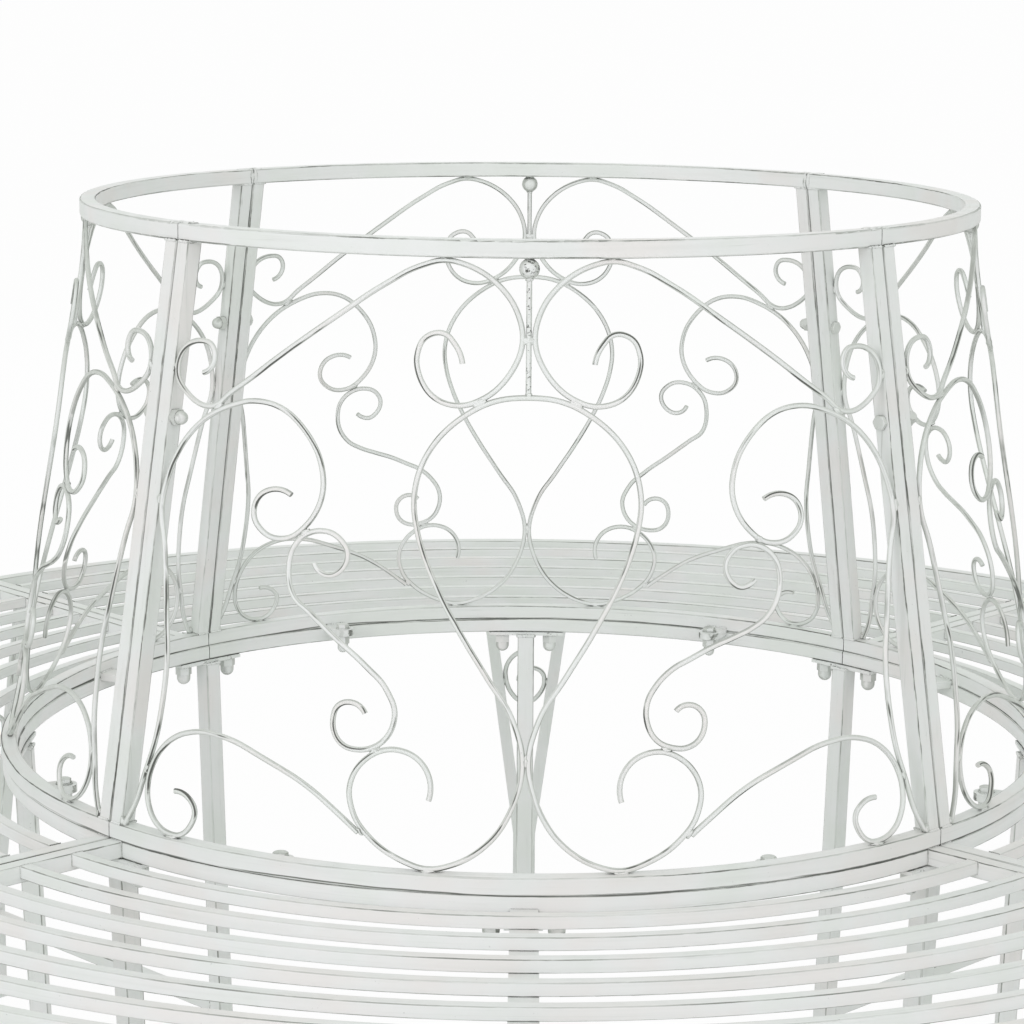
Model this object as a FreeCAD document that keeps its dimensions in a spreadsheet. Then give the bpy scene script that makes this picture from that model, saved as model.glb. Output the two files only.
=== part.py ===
"""Round tree bench of four bolted sections: a ring seat, a scrolled back rest and eight pairs of legs.

The origin is the middle of the ring on the ground, +Z is up and the front section faces -Y.
Each sub-part is modelled once around +X, then turned about Z to each place where it is used.
"""
import FreeCAD, Part
import math
import os

doc = FreeCAD.newDocument("TreeBench")
sheet = doc.addObject("Spreadsheet::Sheet", "Sizes")

SIZES = {
    # seat
    "seat_height": 440,
    "seat_rise": 4,
    "seat_inner_radius": 432,
    "seat_outer_radius": 792,
    "slat_count": 7,
    "slat_width": 9.5,
    "slat_depth": 9.5,
    "slat_corner": 0.8,
    "rib_width": 20,
    "rib_depth": 3,
    # back rest
    "back_height": 449,
    "back_set_out": 1,
    "back_lean": 72,
    "wire_size": 4,
    "wire_flare": 5,
    "ball_size": 14.5,
    # square tube of the rails, posts and end bars
    "tube_size": 13,
    "tube_corner": 1.5,
    "joint_gap": 0.9,
    "weld_gap": 0.1,
    # legs
    "leg_size": 16,
    "leg_corner": 1.5,
    "inner_leg_inset": 4,
    "inner_leg_lean": 17,
    "arm_size": 12,
    "arm_spread": 99,
    "arm_gap": 0.4,
    "arm_bend_height": 110,
    "stretcher_size": 12,
    "stretcher_height": 81,
    "leg_scroll_wire": 5,
    "foot_width": 32,
    "foot_length": 44,
    "foot_depth": 4,
    # plates and lugs
    "plate_depth": 3,
    "inner_plate_length": 72,
    "joint_plate_length": 70,
    "inner_plate_width": 18,
    "outer_plate_length": 126,
    "outer_plate_width": 24,
    "lug_width": 20,
    "lug_reach": 19,
    "lug_overlap": 1,
    "lug_angle": 26,
    # fasteners
    "bolt_size": 6,
    "bolt_clearance": 0.6,
    "head_size": 10,
    "head_depth": 3.6,
    "head_edge": 0.8,
    "nut_size": 11,
    "nut_dome_size": 10,
    "post_nut_height": 12,
    "seat_nut_height": 16.5,
    "washer_size": 13,
    "washer_depth": 1,
    "stud_size": 8,
    "stud_spacing": 46,
    "joint_stud_spacing": 52,
    "leg_nut_size": 13,
    "leg_nut_dome_size": 12.5,
    "leg_nut_height": 17.5,
    "nut_wall": 4,
    "nut_end_gap": 1,
    "post_bolt_drop": 139,
}
for row, (alias, value) in enumerate(SIZES.items(), start=1):
    sheet.set("A%d" % row, alias)
    sheet.set("B%d" % row, str(value))
    sheet.setAlias("B%d" % row, alias)
doc.recompute()


def size(alias):
    """The sheet's present value of one driving size."""
    return float(sheet.get(alias))


def named(text):
    """An expression with each driving size taken from the sheet."""
    words = []
    word = ""
    for letter in text + " ":
        if letter.isalnum() or letter == "_":
            word += letter
            continue
        words.append("Sizes." + word if word in SIZES else word)
        words.append(letter)
        word = ""
    return "".join(words).strip()


def bind(item, **expressions):
    """Bind properties of an object to expressions; x, y and z stand for its place."""
    for name, text in expressions.items():
        path = "Placement.Base." + name if name in ("x", "y", "z") else name
        item.setExpression(path, named(text))
    return item


# Lengths that several sub-parts share, as expressions of the driving sizes.
TOTAL_HEIGHT = "(seat_height + back_height)"
FOOT_RADIUS = "(seat_inner_radius + back_set_out)"
TOP_RADIUS = "(seat_inner_radius + back_set_out - back_lean)"
FOOT_MIDDLE = "(%s - tube_size / 2)" % FOOT_RADIUS
TOP_MIDDLE = "(%s - tube_size / 2)" % TOP_RADIUS
LEAN = "(back_lean / (back_height - tube_size))"
RAIL_MIDDLE = "(seat_inner_radius - tube_size / 2)"
RIM_INSIDE = "(seat_outer_radius - tube_size)"
RIM_MIDDLE = "(seat_outer_radius - tube_size / 2)"
SEAT_SLOPE = "(seat_rise / (%s - outer_plate_width / 2 - seat_inner_radius))" % RIM_MIDDLE
SLAT_PITCH = "((seat_outer_radius - seat_inner_radius) / (slat_count + 1))"
LUG_RADIUS = "(seat_inner_radius - tube_size - lug_reach)"
LEG_TOP = "(seat_height - tube_size - plate_depth)"
LEG_TOP_RADIUS = "(%s - inner_leg_inset)" % RAIL_MIDDLE
LEG_FOOT_RADIUS = "(%s - inner_leg_lean)" % LEG_TOP_RADIUS
LEG_LEAN = "(inner_leg_lean / (%s - foot_depth))" % LEG_TOP
LEG_HALF = "(leg_size / 2 * sqrt(1 + pow(%s; 2)))" % LEG_LEAN
RIM_PLATE_TOP = "(seat_height + seat_rise - tube_size)"
ARM_TOP = "(seat_height + seat_rise - tube_size - plate_depth)"
POST_BOLT_HEIGHT = "(seat_height + back_height - post_bolt_drop)"
POST_BOLT_RADIUS = "(%s + (post_bolt_drop - tube_size / 2) * %s)" % (TOP_MIDDLE, LEAN)


def box(name, length, width, depth, x, y, z):
    """A block centred on x and y that stands on z."""
    item = doc.addObject("Part::Box", name)
    bind(item, Length=length, Width=width, Height=depth)
    return bind(item, x="%s - (%s) / 2" % (x, length), y="%s - (%s) / 2" % (y, width), z=z)


def cylinder(name, radius, depth, x, y, z):
    """An upright cylinder that stands on z."""
    item = doc.addObject("Part::Cylinder", name)
    return bind(item, Radius=radius, Height=depth, x=x, y=y, z=z)


def cut(name, base, tool):
    item = doc.addObject("Part::Cut", name)
    item.Base = base
    item.Tool = tool
    return item


def fuse(name, *items):
    item = doc.addObject("Part::MultiFuse", name)
    item.Shapes = list(items)
    return item


def rounded(name, base, radius, wanted):
    """A copy of base with a small radius on each edge for which wanted(edge) holds."""
    doc.recompute()
    item = doc.addObject("Part::Fillet", name)
    item.Base = base
    edges = enumerate(base.Shape.Edges, start=1)
    item.Edges = [(number, radius, radius) for number, edge in edges if wanted(edge)]
    return item


def is_circle(edge):
    return edge.Curve.TypeId == "Part::GeomCircle"


def is_long(edge):
    """Along the bar: longer than twice the widest section."""
    return edge.Length > 2 * max(size("tube_size"), size("leg_size"))


def wedge(name, turn, **ends):
    """A bar with parallel ends: its section is X by Z, and its length runs along Y, turned into place."""
    item = doc.addObject("Part::Wedge", name)
    item.Placement.Rotation = turn
    return bind(item, **ends)


UPRIGHT = FreeCAD.Rotation(FreeCAD.Vector(1, 0, 0), 90)
OUTWARD = FreeCAD.Rotation(FreeCAD.Vector(0, 0, 1), -90)


# Curved rails and slats

def sector(name, setback):
    """The quarter of the ring around +X, its sides set back from the joint planes."""
    item = doc.addObject("Part::Box", name)
    item.Placement.Rotation = FreeCAD.Rotation(FreeCAD.Vector(0, 0, 1), -45)
    reach = "2 * seat_outer_radius"
    return bind(item, Length=reach, Width=reach, Height=reach, x="sqrt(2) * (%s)" % setback)


def ring_bar(name, outer, width, depth, top, corner, quarter):
    """One quarter of a ring of square bar with rounded edges."""
    disc = cylinder(name + "_disc", outer, depth, "0", "0", "%s - %s" % (top, depth))
    hole = cylinder(name + "_hole", "%s - %s" % (outer, width), depth, "0", "0", "%s - %s" % (top, depth))
    ring = cut(name + "_ring", disc, hole)
    smooth = rounded(name + "_smooth", ring, size(corner), is_circle)
    item = doc.addObject("Part::MultiCommon", name)
    item.Shapes = [smooth, quarter]
    return item


rail_sector = sector("rail_sector", "joint_gap / 2")
slat_sector = sector("slat_sector", "joint_gap / 2 + tube_size")

back_top_rail = ring_bar("top_rail", TOP_RADIUS, "tube_size", "tube_size", TOTAL_HEIGHT,
                         "tube_corner", rail_sector)
back_bottom_rail = ring_bar("bottom_rail", FOOT_RADIUS, "tube_size", "tube_size",
                            "(seat_height + tube_size)", "tube_corner", rail_sector)
seat_inner_rail = ring_bar("inner_rail", "seat_inner_radius", "tube_size", "tube_size", "seat_height",
                           "tube_corner", rail_sector)
seat_outer_rail = ring_bar("outer_rail", "seat_outer_radius", "tube_size", "tube_size",
                           "(seat_height + seat_rise)", "tube_corner", rail_sector)


def slat(number):
    outer = "(seat_inner_radius + %d * %s)" % (number, SLAT_PITCH)
    top = "(seat_height + (%s - slat_width / 2 - seat_inner_radius) * %s)" % (outer, SEAT_SLOPE)
    return ring_bar("slat_%d" % number, outer, "slat_width", "slat_depth", top, "slat_corner", slat_sector)


seat_slats = [slat(number) for number in range(1, int(size("slat_count")) + 1)]


# Posts, end bars and ribs

def post(name, side):
    """A leaning end post beside the joint plane, from the bottom rail up to the top rail."""
    foot = "(%s - tube_size / 2 * %s)" % (FOOT_MIDDLE, LEAN)
    head = "(%s + tube_size / 2 * %s)" % (TOP_MIDDLE, LEAN)
    half = "(tube_size / 2 * sqrt(1 + pow(%s; 2)))" % LEAN
    near = "joint_gap / 2" if side < 0 else "-joint_gap / 2 - tube_size"
    bar = wedge(name + "_bar", UPRIGHT, Ymin="seat_height + tube_size", Ymax=TOTAL_HEIGHT + " - tube_size",
                Xmin=foot + " - " + half, Xmax=foot + " + " + half,
                X2min=head + " - " + half, X2max=head + " + " + half,
                Zmin=near, Zmax=near + " + tube_size", Z2min=near, Z2max=near + " + tube_size")
    smooth = rounded(name + "_smooth", bar, size("tube_corner"), is_long)
    hole = doc.addObject("Part::Cylinder", name + "_hole")
    hole.Placement.Rotation = UPRIGHT
    bind(hole, Radius="(bolt_size + bolt_clearance) / 2", Height="4 * tube_size",
         x=POST_BOLT_RADIUS, y="2 * tube_size", z=POST_BOLT_HEIGHT)
    return cut(name, smooth, hole)


def seat_top(radius):
    return "(seat_height + (%s - seat_inner_radius) * %s)" % (radius, SEAT_SLOPE)


def radial_bar(name, near, width, drop, depth):
    """A straight bar from the inner rail out to the outer rail, following the seat's slope."""
    far = "max(abs(%s); abs(%s + %s))" % (near, near, width)
    start = "seat_inner_radius"
    end = "sqrt(pow(%s; 2) - pow(%s; 2))" % (RIM_INSIDE, far)
    return wedge(name, OUTWARD, Ymin=start, Ymax=end,
                 Xmin=near, Xmax="%s + %s" % (near, width), X2min=near, X2max="%s + %s" % (near, width),
                 Zmin="%s - %s - %s" % (seat_top(start), drop, depth),
                 Zmax="%s - %s" % (seat_top(start), drop),
                 Z2min="%s - %s - %s" % (seat_top(end), drop, depth),
                 Z2max="%s - %s" % (seat_top(end), drop))


back_posts = [post("post_a", 1), post("post_b", -1)]
end_bars = []
for name, near in (("end_bar_a", "joint_gap / 2"), ("end_bar_b", "(0 - joint_gap / 2 - tube_size)")):
    bar = radial_bar(name + "_bar", near, "tube_size", "0", "tube_size")
    end_bars.append(rounded(name, bar, size("tube_corner"), is_long))
seat_rib = radial_bar("rib", "(0 - rib_width / 2)", "rib_width", "(slat_depth + weld_gap)", "rib_depth")


# Scrollwork
#
# A scroll is drawn on the flattened section: first the distance from the section's middle, then the height
# above the lowest place that a wire's middle can take. The drawing is for a section of SCROLL_HEIGHT that is
# twice SCROLL_FOOT wide at its foot and twice SCROLL_TOP at its top, between the wires' middles. It is
# stretched to the space that the rails and posts leave. The wires stand in the middle of the rails at the
# section's middle and come outwards, flush with the posts' outer faces, at its ends.

SCROLL_HEIGHT = 424.7
SCROLL_FOOT = 322.5
SCROLL_TOP = 268.2

HALF_HEART = [(23.1, 327.5), (47.5, 315.1), (65.8, 297.7), (76.4, 278.8), (80.7, 257.9), (78.5, 236.9),
              (72.4, 216.5), (61.3, 191.5), (47.1, 166), (28.8, 137), (9.6, 106.5), (2.1, 77), (8.8, 45.5),
              (24.4, 21), (48.7, 4.6), (69, 0.1), (89.4, 5.6), (109.3, 17.6), (123.5, 35.3), (126.1, 55.6),
              (115, 73.7), (92.1, 82.2), (73.8, 74), (68.4, 47.8)]
HEART_TOP = (0, 330.1)
UPPER_SCROLL = [(46.7, 353), (51.2, 365), (61.2, 373.9), (72.7, 370.9), (79.4, 357.6), (77.6, 343.7),
                (66, 328.5), (48.4, 323.9), (30.6, 329.7), (13.2, 346.2), (4.4, 369.1), (9.1, 391.1),
                (23.3, 409.5), (43.6, 421.3), (58.8, 424.5), (79.3, 419.4), (102.9, 406.8), (140.2, 382.3),
                (179.3, 355.8), (220.9, 326.8), (247.2, 311), (265.4, 316.3), (279.3, 334.6), (273.6, 349.3),
                (257.5, 357.1), (244.9, 354), (243.4, 342.6), (252.9, 334.6)]
ARCH_SCROLL = [(174, 254.8), (188.6, 257.6), (200.8, 251.2), (205.1, 240.5), (194.6, 225.4), (178.3, 223.8),
               (160, 236.2), (149.5, 256.2), (151, 279.9), (162.9, 300.2), (183.2, 315.4), (206.2, 318.5),
               (228.1, 313), (250.8, 301.6), (272.2, 281.6), (285.8, 258.1), (291.8, 239), (287.7, 201.9),
               (284.7, 161.3), (282.8, 127.2), (286.2, 94.6), (293.3, 63.1), (301.9, 40.9), (312.2, 15.2),
               (322.4, -0.6)]
STEEP_SCROLL = [(155.1, 208.1), (144.5, 200.6), (133.2, 206.3), (129.5, 215.3), (138, 228.7), (154.3, 230.9),
                (169.6, 221.1), (175.5, 201.1), (171.4, 184), (157.9, 172.9), (138.3, 157.2), (115.5, 139.6),
                (100.5, 125), (93.4, 105.8), (101.1, 88.2), (118.5, 80.3), (132.7, 83.3), (139.6, 97.4),
                (134, 111.1), (123.5, 112.7), (115.2, 106)]
SLOPING_SCROLL = [(167.1, 198.4), (161.8, 194.8), (155.3, 194), (148.8, 198), (144.1, 211.1), (148.6, 219),
                  (162.9, 223.4), (181.6, 214.3), (187.2, 192.7), (176.5, 171.4), (164.6, 164.3),
                  (149.1, 158.5), (134, 153.3), (119.1, 146.6), (104.4, 139.4), (93.6, 129.6), (86.6, 117.4),
                  (85.6, 107.3), (95.5, 88.6), (105.3, 84.5), (115, 83.8), (123.4, 87.6), (128.3, 95.2),
                  (125.7, 109.9), (119.4, 113.7), (107.6, 110.1)]
OUTER_SCROLL = [(272.1, 31.8), (260.7, 29.8), (253.3, 20.3), (256.6, 9.8), (265.6, 1.6), (278.2, 0.6),
                (290.2, 5.9), (298.4, 18.8), (299, 34.3), (291.9, 52.3), (275, 69.2), (252.4, 77.5),
                (226.5, 76.9), (192.2, 65.8), (159.8, 51.4), (130.7, 30.8), (119.8, 22.1)]


def tangents(points):
    """At each point, the direction of the circle through it and its two neighbours."""
    found = []
    for number in range(len(points)):
        first = max(0, min(number - 1, len(points) - 3))
        before = points[first + 1] - points[first]
        after = points[first + 2] - points[first + 1]
        along = before * (after.Length / before.Length) + after * (before.Length / after.Length)
        along.normalize()
        if number == first + 1:
            found.append(along)
            continue
        chord = before if number == first else after
        chord.normalize()
        found.append(chord * (2 * chord.dot(along)) - along)
    return found


def arc(start, direction, end):
    """The arc, or the straight line, that leaves start in a direction and reaches end."""
    chord = end - start
    along = chord / chord.Length
    across = direction - along * direction.dot(along)
    if across.Length < 1e-6:
        return Part.LineSegment(start, end).toShape()
    half_turn = math.atan2(across.Length, direction.dot(along))
    across.normalize()
    top = (start + end) * 0.5 + across * (chord.Length / 2 * math.tan(half_turn / 2))
    return Part.Arc(start, top, end).toShape()


def smooth_path(points):
    """A smooth line through the points: two arcs between each two, tangent where they meet."""
    directions = tangents(points)
    edges = []
    for number in range(len(points) - 1):
        a, b = points[number], points[number + 1]
        u, v = directions[number], directions[number + 1]
        chord = b - a
        both = u + v
        spare = 2 * (1 - u.dot(v))
        reach = chord.dot(both)
        if spare < 1e-9:
            length = chord.Length ** 2 / (2 * reach)
        else:
            length = (math.sqrt(reach ** 2 + spare * chord.Length ** 2) - reach) / spare
        middle = (a + u * length + b - v * length) * 0.5
        edges.append(arc(a, u, middle))
        edges.append(arc(middle, (b - v * length - a - u * length).normalize(), b))
    return Part.Wire(edges)


def wire(name, points, diameter):
    """A bent round wire whose middle follows the points."""
    path = smooth_path(points)
    start = path.Edges[0]
    profile = Part.Wire([Part.makeCircle(diameter / 2, points[0], start.tangentAt(start.FirstParameter))])
    item = doc.addObject("Part::Feature", name)
    item.Shape = path.makePipeShell([profile], True, True)
    section = math.pi * diameter ** 2 / 4
    print("%-16s length %7.1f  volume / section length %.5f"
          % (name, path.Length, item.Shape.Volume / (section * path.Length)))
    return item


# part of the flattened section that a wire's middle can reach
lean = size("back_lean") / (size("back_height") - size("tube_size"))
foot_middle = size("seat_inner_radius") + size("back_set_out") - size("tube_size") / 2
foot_level = size("seat_height") + size("tube_size") + size("wire_size") / 2
top_level = size("seat_height") + size("back_height") - size("tube_size") - size("wire_size") / 2
side_room = size("joint_gap") / 2 + size("tube_size") + size("wire_size") / 2


def cone_radius(level):
    """Radius of the rails' and posts' middles at a level."""
    return foot_middle - (level - size("seat_height") - size("tube_size") / 2) * lean


def on_back(across, up):
    """A point of the scroll drawing, put on the back rest."""
    share = up / SCROLL_HEIGHT
    level = foot_level + share * (top_level - foot_level)
    drawn_room = SCROLL_FOOT + share * (SCROLL_TOP - SCROLL_FOOT)
    end_radius = cone_radius(level) + size("wire_flare")
    turn = across / drawn_room * (math.pi / 4 - side_room / end_radius)
    radius = cone_radius(level) + size("wire_flare") * (across / drawn_room) ** 2
    return FreeCAD.Vector(radius * math.cos(turn), radius * math.sin(turn), level)


def back_scroll(name, drawing):
    """One wire of the back rest."""
    return wire(name, [on_back(across, up) for across, up in drawing], size("wire_size"))


def mirrored(drawing):
    return [(-across, up) for across, up in drawing]


def scroll_pair(name, drawing):
    """A scroll and its mirror image on the other side of the section's middle."""
    return [back_scroll(name + "_right", drawing), back_scroll(name + "_left", mirrored(drawing))]


heart = back_scroll("heart", mirrored(HALF_HEART)[::-1] + [HEART_TOP] + HALF_HEART)
upper = scroll_pair("upper", UPPER_SCROLL) + scroll_pair("arch", ARCH_SCROLL)
lower = scroll_pair("outer", OUTER_SCROLL)
lower += [back_scroll("sloping", SLOPING_SCROLL), back_scroll("steep", mirrored(STEEP_SCROLL))]


def finial_ball():
    """The ball welded under the middle of the top rail."""
    item = doc.addObject("Part::Sphere", "ball")
    level = "(%s - tube_size - ball_size / 2)" % TOTAL_HEIGHT
    radius = "(%s + (tube_size / 2 + ball_size / 2) * %s)" % (TOP_MIDDLE, LEAN)
    return bind(item, Radius="ball_size / 2", x=radius, z=level)


def finial_stem():
    """The wire from the ball down to the top of the heart."""
    downhill = FreeCAD.Vector(lean, 0, -1).normalize()
    ball_level = size("seat_height") + size("back_height") - size("tube_size") - size("ball_size") / 2
    ball_middle = FreeCAD.Vector(cone_radius(ball_level), 0, ball_level)
    start = ball_middle + downhill * (size("ball_size") / 2)
    length = (on_back(*HEART_TOP) - start).Length - size("wire_size") / 2 - size("weld_gap")
    item = doc.addObject("Part::Feature", "stem")
    item.Shape = Part.makeCylinder(size("wire_size") / 2, length, start, downhill)
    return item


ball = finial_ball()
stem = finial_stem()


# Legs

inner_leg_bar = wedge("inner_leg_bar", UPRIGHT, Ymin="foot_depth", Ymax=LEG_TOP,
                      Xmin=LEG_FOOT_RADIUS + " - " + LEG_HALF, Xmax=LEG_FOOT_RADIUS + " + " + LEG_HALF,
                      X2min=LEG_TOP_RADIUS + " - " + LEG_HALF, X2max=LEG_TOP_RADIUS + " + " + LEG_HALF,
                      Zmin="0 - leg_size / 2", Zmax="leg_size / 2",
                      Z2min="0 - leg_size / 2", Z2max="leg_size / 2")
inner_leg = rounded("inner_leg", inner_leg_bar, size("leg_corner"), is_long)


def outer_arm(name, side):
    """One bar of an outer leg: upright beside its twin, then spreading up to the rim's plate."""
    low = "(arm_gap / 2 + arm_size / 2)"
    high = "(arm_spread / 2)"
    half = "(arm_size / 2)"
    sign = "" if side > 0 else "-1 * "
    first, last = ("-", "+") if side > 0 else ("+", "-")
    low_ends = ["%s(%s %s %s)" % (sign, low, mark, half) for mark in (first, last)]
    high_ends = ["%s(%s %s %s)" % (sign, high, mark, half) for mark in (first, last)]
    near = "(0 - %s - arm_size / 2)" % RIM_MIDDLE
    far = "(0 - %s + arm_size / 2)" % RIM_MIDDLE
    turn = UPRIGHT.multiply(FreeCAD.Rotation(FreeCAD.Vector(0, 1, 0), 90))
    foot = wedge(name + "_foot", turn, Ymin="foot_depth", Ymax="arm_bend_height",
                 Xmin=near, Xmax=far, X2min=near, X2max=far,
                 Zmin=low_ends[0], Zmax=low_ends[1], Z2min=low_ends[0], Z2max=low_ends[1])
    arm = wedge(name + "_arm", turn, Ymin="arm_bend_height", Ymax=ARM_TOP,
                Xmin=near, Xmax=far, X2min=near, X2max=far,
                Zmin=low_ends[0], Zmax=low_ends[1], Z2min=high_ends[0], Z2max=high_ends[1])
    return fuse(name, foot, arm)


outer_arms = [outer_arm("outer_arm_a", 1), outer_arm("outer_arm_b", -1)]


def leg_face(level):
    """Radius of an inner leg's outer face at a level."""
    return "(%s + %s + (%s - foot_depth) * %s)" % (LEG_FOOT_RADIUS, LEG_HALF, level, LEG_LEAN)


STRETCHER_END = "(%s - arm_size / 2)" % RIM_MIDDLE
STRETCHER_TOP = "(stretcher_height + stretcher_size)"
stretcher_bar = wedge("stretcher_bar", UPRIGHT, Ymin="stretcher_height", Ymax=STRETCHER_TOP,
                      Xmin=leg_face("stretcher_height"), Xmax=STRETCHER_END,
                      X2min=leg_face(STRETCHER_TOP), X2max=STRETCHER_END,
                      Zmin="0 - stretcher_size / 2", Zmax="stretcher_size / 2",
                      Z2min="0 - stretcher_size / 2", Z2max="stretcher_size / 2")
stretcher = rounded("stretcher", stretcher_bar, size("leg_corner"), is_long)

# The small scroll between an outer leg's arms: its share of the room beside the leg's middle, then its depth
# below the seat's outer rail.
LEG_SCROLL = [(0.05, 112), (0.61, 120), (0.92, 132), (0.983, 146), (0.82, 159), (0.3, 169), (-0.3, 169.5),
              (-0.82, 160.5), (-0.983, 148), (-0.82, 137), (-0.35, 131.5), (0.1, 134.5), (0.35, 146)]


def scroll_of_leg():
    """The wire between an outer leg's two arms, its middle in the arms' middle plane."""
    low = size("arm_gap") / 2 + size("arm_size") / 2
    high = size("arm_spread") / 2
    top = size("seat_height") + size("seat_rise") - size("tube_size") - size("plate_depth")
    slope = (high - low) / (top - size("arm_bend_height"))
    points = []
    for share, depth in LEG_SCROLL:
        level = top + size("plate_depth") - depth
        room = high - (top - level) * slope - size("arm_size") / 2 - size("leg_scroll_wire") / 2
        points.append(FreeCAD.Vector(size("seat_outer_radius") - size("tube_size") / 2, share * room, level))
    return wire("leg_scroll", points, size("leg_scroll_wire"))


leg_scroll = scroll_of_leg()


def plate(name, width, length, spacing, x, top):
    """A top plate with a hole for each of its two studs."""
    base = box(name + "_blank", width, length, "plate_depth", x, "0", "%s - plate_depth" % top)
    holes = [cylinder("%s_hole_%d" % (name, number), "(stud_size + bolt_clearance) / 2", "3 * plate_depth", x,
                      "%d * %s / 2" % (side, spacing), "%s - 2 * plate_depth" % top)
             for number, side in enumerate((1, -1))]
    return cut(name, base, fuse(name + "_holes", *holes))


# A middle leg's studs stand under one section; a joint leg's plate ties two sections' rails together.
SPACING = {"middle": "stud_spacing", "joint": "joint_stud_spacing"}
RAIL_BOTTOM = "(seat_height - tube_size)"
inner_plates = {kind: plate(kind + "_inner_plate", "inner_plate_width", length, SPACING[kind], RAIL_MIDDLE,
                            RAIL_BOTTOM)
                for kind, length in (("middle", "inner_plate_length"), ("joint", "joint_plate_length"))}
outer_plates = {kind: plate(kind + "_outer_plate", "outer_plate_width", "outer_plate_length", spacing,
                            RIM_MIDDLE, RIM_PLATE_TOP)
                for kind, spacing in SPACING.items()}
inner_foot = box("inner_foot", "foot_width", "foot_width", "foot_depth", LEG_FOOT_RADIUS, "0", "0")
outer_foot = box("outer_foot", "foot_width", "foot_length", "foot_depth", RIM_MIDDLE, "0", "0")


# Lugs and fasteners

def lug(name, rail_inside, bottom):
    """A tab on the inside of a rail, rounded at its free end, with a bolt hole."""
    reach = "(%s - %s + lug_overlap)" % (rail_inside, LUG_RADIUS)
    tab = box(name + "_tab", reach, "lug_width", "plate_depth", "%s + %s / 2" % (LUG_RADIUS, reach), "0",
              bottom)
    end = cylinder(name + "_end", "lug_width / 2", "plate_depth", LUG_RADIUS, "0", bottom)
    blank = fuse(name + "_blank", tab, end)
    rail = cylinder(name + "_rail", "2 * %s" % rail_inside, "plate_depth", "0", "0", bottom)
    inside = cylinder(name + "_inside", rail_inside, "plate_depth", "0", "0", bottom)
    trimmed = cut(name + "_trimmed", blank, cut(name + "_outside", rail, inside))
    hole = cylinder(name + "_hole", "(bolt_size + bolt_clearance) / 2", "3 * plate_depth", LUG_RADIUS, "0",
                    "%s - plate_depth" % bottom)
    return cut(name, trimmed, hole)


back_lug = lug("back_lug", "(%s - tube_size)" % FOOT_RADIUS, "seat_height")
seat_lug = lug("seat_lug", "(seat_inner_radius - tube_size)", "(seat_height - plate_depth)")


def cap_nut(name, flats_size, dome_size, height, thread_size):
    """A hexagonal nut with a domed cap, its flat face on z = 0 and its cap upwards."""
    flats = doc.addObject("Part::Prism", name + "_flats")
    flats.Polygon = 6
    bind(flats, Circumradius="%s / sqrt(3)" % flats_size, Height="0.45 * " + height)
    crown = "(%s - %s / 2)" % (height, dome_size)
    barrel = cylinder(name + "_barrel", dome_size + " / 2", crown, "0", "0", "0")
    dome = doc.addObject("Part::Sphere", name + "_dome")
    bind(dome, Radius=dome_size + " / 2", z=crown)
    hole = cylinder(name + "_hole", thread_size + " / 2 + weld_gap", height + " - nut_wall", "0", "0", "0")
    return cut(name, fuse(name + "_blank", flats, barrel, dome), hole)


def hex_bolt(name, grip, nut_height):
    """A bolt with a hexagonal head that stands on z = 0; its shank reaches through the grip into a nut."""
    flats = doc.addObject("Part::Prism", name + "_flats")
    flats.Polygon = 6
    bind(flats, Circumradius="head_size / sqrt(3)", Height="head_depth")
    cone = doc.addObject("Part::Cone", name + "_cone")
    bind(cone, Radius1="head_size / 2 + 2 * head_depth", Radius2="head_size / 2 - head_edge / 2",
         Height="head_depth")
    head = doc.addObject("Part::MultiCommon", name + "_head")
    head.Shapes = [flats, cone]
    shank_length = "(%s + %s - nut_wall - nut_end_gap)" % (grip, nut_height)
    shank = cylinder(name + "_shank", "bolt_size / 2", shank_length, "0", "0", "0 - %s" % shank_length)
    return fuse(name, head, shank)


def placed(name, item, turn, **place):
    """The same piece turned and moved to where it is used."""
    copy = doc.addObject("Part::Compound", name)
    copy.Links = [item]
    copy.Placement.Rotation = turn
    return bind(copy, **place)


ASIDE = FreeCAD.Rotation(FreeCAD.Vector(1, 0, 0), -90)
OTHER_SIDE = FreeCAD.Rotation(FreeCAD.Vector(1, 0, 0), 90)
DOWN = FreeCAD.Rotation(FreeCAD.Vector(1, 0, 0), 180)
AS_IS = FreeCAD.Rotation()

long_bolt = hex_bolt("long_bolt", "(joint_gap + 2 * tube_size)", "post_nut_height")
short_bolt = hex_bolt("short_bolt", "(2 * washer_depth + 2 * plate_depth)", "seat_nut_height")
low_nut = cap_nut("low_nut", "nut_size", "nut_dome_size", "post_nut_height", "bolt_size")
tall_nut = cap_nut("tall_nut", "nut_size", "nut_dome_size", "seat_nut_height", "bolt_size")
wide_nut = cap_nut("wide_nut", "leg_nut_size", "leg_nut_dome_size", "leg_nut_height", "stud_size")

post_bolt = placed("post_bolt", long_bolt, OTHER_SIDE, x=POST_BOLT_RADIUS, y="0 - joint_gap / 2 - tube_size",
                   z=POST_BOLT_HEIGHT)
post_nut = placed("post_nut", low_nut, ASIDE, x=POST_BOLT_RADIUS, y="joint_gap / 2 + tube_size",
                  z=POST_BOLT_HEIGHT)
seat_bolt = placed("seat_bolt", short_bolt, AS_IS, x=LUG_RADIUS, z="seat_height + plate_depth + washer_depth")
seat_nut = placed("seat_nut", tall_nut, DOWN, x=LUG_RADIUS, z="seat_height - plate_depth - washer_depth")


def washer(name, bottom):
    disc = cylinder(name + "_disc", "washer_size / 2", "washer_depth", LUG_RADIUS, "0", bottom)
    hole = cylinder(name + "_hole", "(bolt_size + bolt_clearance) / 2", "washer_depth", LUG_RADIUS, "0",
                    bottom)
    return cut(name, disc, hole)


seat_washers = [washer("upper_washer", "seat_height + plate_depth"),
                washer("lower_washer", "seat_height - plate_depth - washer_depth")]


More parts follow.
